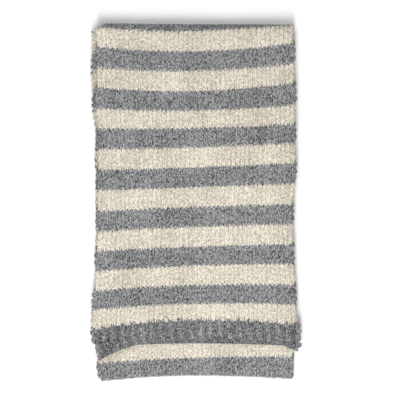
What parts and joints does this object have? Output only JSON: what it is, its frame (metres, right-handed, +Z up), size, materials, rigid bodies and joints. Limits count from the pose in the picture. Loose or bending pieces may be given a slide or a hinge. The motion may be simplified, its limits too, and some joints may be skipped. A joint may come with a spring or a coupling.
{
  "type": "folded knitted scarf",
  "caption": "Long striped scarf in thick fuzzy knitting with ribbed ends, folded in half and in half again into a flat stack; the upper plies turn over the folds to open it.",
  "frame": {"origin": "middle of the underside of the folded stack, on the surface that it lies on", "axes": "+X across the scarf, +Y along it towards the two nested folds (the ribbed ends face -Y), +Z up out of the stack"},
  "size_m": [0.306, 0.5232, 0.0209],
  "materials": {
    "cream_yarn": "brushed cream yarn, matt",
    "grey_yarn": "brushed mixed grey yarn, matt",
    "ribbed_grey_yarn": "brushed mixed grey yarn in rib, matt"
  },
  "bodies": {
    "lower_plies": {"ground_stripe_01_cream": "cream_yarn", "ground_stripe_02_grey": "grey_yarn", "ground_stripe_03_cream": "cream_yarn", "ground_stripe_04_grey": "grey_yarn", "ground_stripe_05_cream": "cream_yarn", "ground_stripe_06_grey": "grey_yarn", "ground_stripe_07_cream": "cream_yarn", "ground_stripe_08_grey": "grey_yarn", "ground_stripe_09_cream": "cream_yarn", "ground_stripe_10_grey": "grey_yarn", "ground_stripe_11_cream": "cream_yarn", "ground_stripe_12_grey": "grey_yarn", "ground_stripe_13_cream": "cream_yarn", "ground_stripe_14_grey": "grey_yarn", "ground_stripe_15_cream": "cream_yarn", "ground_stripe_16_grey": "grey_yarn", "ground_stripe_17_cream": "cream_yarn", "outer_fold_grey": "grey_yarn", "third_stripe_01_grey": "grey_yarn", "third_stripe_02_cream": "cream_yarn", "third_stripe_03_grey": "grey_yarn", "third_stripe_04_cream": "cream_yarn", "third_stripe_05_grey": "grey_yarn", "third_stripe_06_cream": "cream_yarn", "third_stripe_07_grey": "grey_yarn", "third_stripe_08_cream": "cream_yarn", "third_stripe_09_grey": "grey_yarn", "third_stripe_10_cream": "cream_yarn", "third_stripe_11_grey": "grey_yarn", "third_stripe_12_cream": "cream_yarn", "third_stripe_13_grey": "grey_yarn", "third_stripe_14_cream": "cream_yarn", "third_stripe_15_grey": "grey_yarn", "third_stripe_16_cream": "cream_yarn", "third_stripe_17_grey": "grey_yarn"},
    "top_ply": {"top_ribbed_end": "ribbed_grey_yarn", "top_stripe_01_cream": "cream_yarn", "top_stripe_02_grey": "grey_yarn", "top_stripe_03_cream": "cream_yarn", "top_stripe_04_grey": "grey_yarn", "top_stripe_05_cream": "cream_yarn", "top_stripe_06_grey": "grey_yarn", "top_stripe_07_cream": "cream_yarn", "top_stripe_08_grey": "grey_yarn", "top_stripe_09_cream": "cream_yarn", "top_stripe_10_grey": "grey_yarn", "top_stripe_11_cream": "cream_yarn", "top_stripe_12_grey": "grey_yarn", "top_stripe_13_cream": "cream_yarn", "top_stripe_14_grey": "grey_yarn", "top_stripe_15_cream": "cream_yarn"},
    "second_ply": {"second_ribbed_end": "ribbed_grey_yarn", "second_stripe_15_cream": "cream_yarn", "second_stripes_01_02": "cream_yarn", "second_stripes_03_04": "cream_yarn", "second_stripes_05_06": "cream_yarn", "second_stripes_07_08": "cream_yarn", "second_stripes_09_10": "cream_yarn", "second_stripes_11_12": "cream_yarn", "second_stripes_13_14": "cream_yarn"}
  },
  "joints": [
    {"name": "top_ply_turn", "type": "hinge", "parent": "lower_plies", "child": "top_ply", "pos_m": [0, 0.25639, 0.01045], "axis": [-1, 0, 0], "range_deg": [0, 180], "deforming": ["outer_fold_grey"]},
    {"name": "second_ply_turn", "type": "hinge", "parent": "lower_plies", "child": "second_ply", "pos_m": [0, 0.24616, 0.01045], "axis": [-1, 0, 0], "range_deg": [0, 180], "deforming": ["second_stripe_15_cream", "third_stripe_17_grey"]}
  ],
  "couplings": [
    {"joint": "second_ply_turn", "follows": "top_ply_turn", "ratio": 1}
  ]
}
